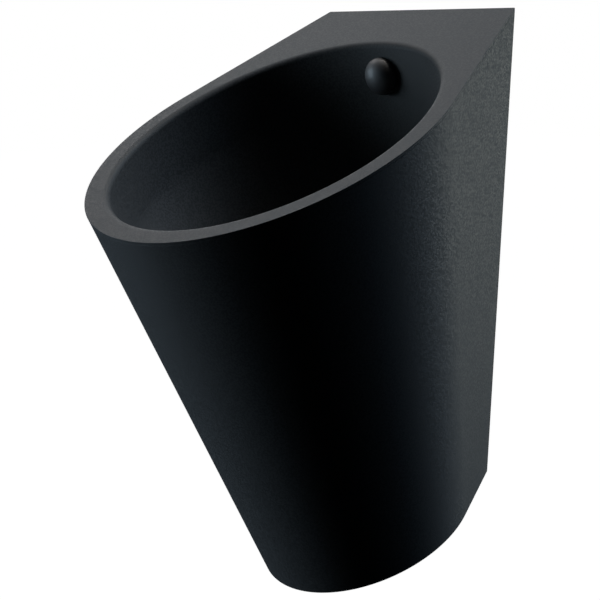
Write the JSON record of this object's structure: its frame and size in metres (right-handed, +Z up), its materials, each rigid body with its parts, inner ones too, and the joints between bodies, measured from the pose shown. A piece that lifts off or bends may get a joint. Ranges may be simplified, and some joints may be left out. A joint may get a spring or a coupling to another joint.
{
  "type": "wall-hung urinal",
  "caption": "Tapered sheet-metal urinal that hangs on a wall, with a sloping rim, a deep round bowl, a domed water inlet, a lift-out strainer and a bottle trap inside.",
  "frame": {"origin": "middle of the wall bracket's back face, on the wall plane y = 0, 150 mm below the rim's back edge", "axes": "+Y into the wall that it hangs on, +Z up, +X to the right of someone facing the wall"},
  "size_m": [0.3598, 0.3549, 0.5256],
  "materials": {
    "black_coat": "matt black powder coat with a very fine grain on stainless sheet",
    "black_metal": "satin black",
    "stainless": "mill finish stainless steel",
    "zinc_plate": "zinc plated steel",
    "brass": "machined brass",
    "chrome": "chrome plated brass",
    "rubber": "moulded black rubber",
    "fibre": "red fibre washer",
    "trap_plastic": "white moulded polypropylene"
  },
  "bodies": {
    "urinal": {"outer_skin": "black_coat", "rim_deck": "black_coat", "bowl": "black_coat", "inlet_spreader": "black_metal", "bottom_flange": "stainless", "hanger_rail": "stainless", "lower_crossbar": "stainless", "inlet_washer": "stainless", "waste_body": "stainless", "waste_washer": "stainless", "lock_screw_left": "stainless", "lock_screw_right": "stainless", "cover_hinge_left": "stainless", "cover_hinge_right": "stainless", "hinge_pin_left": "stainless", "hinge_pin_right": "stainless", "wall_bracket": "zinc_plate", "lower_wall_bracket": "zinc_plate", "lock_nut_left": "zinc_plate", "lock_nut_right": "zinc_plate", "cover_nut_left": "zinc_plate", "cover_nut_right": "zinc_plate", "inlet_tail": "brass", "inlet_locknut": "brass", "waste_locknut": "brass", "supply_nut": "chrome", "supply_pipe": "chrome", "inlet_gasket": "rubber", "inlet_rear_seal": "rubber", "waste_gasket": "rubber", "trap_seal": "rubber", "outlet_seal": "rubber", "outlet_collar": "rubber", "supply_seal": "fibre", "trap_nut": "trap_plastic", "trap_body": "trap_plastic", "trap_dip_tube": "trap_plastic", "outlet_nut": "trap_plastic", "outlet_pipe": "trap_plastic"},
    "strainer": {"strainer": "black_metal"},
    "cup_seal": {"trap_cup_seal": "rubber"},
    "cup": {"trap_cup": "trap_plastic"},
    "cover": {"service_cover": "black_coat", "cover_screw_left": "stainless", "cover_screw_right": "stainless"}
  },
  "joints": [
    {"name": "strainer_lift", "type": "slide", "parent": "urinal", "child": "strainer", "axis": [0, 0, 1], "range_m": [0, 0.32]},
    {"name": "cup_drop", "type": "slide", "parent": "urinal", "child": "cup_seal", "axis": [0, 0, -1], "range_m": [0, 0.0081]},
    {"name": "cup_turn", "type": "hinge", "parent": "cup_seal", "child": "cup", "pos_m": [0, -0.125, -0.29], "axis": [0, 0, -1], "range_deg": [0, 720]},
    {"name": "cover_swing", "type": "hinge", "parent": "urinal", "child": "cover", "pos_m": [0, -0.01766, -0.29124], "axis": [1, 0, 0], "range_deg": [0, 60]}
  ],
  "couplings": [
    {"joint": "cup_drop", "follows": "cup_turn", "m_per_rad": 0.00063662}
  ]
}
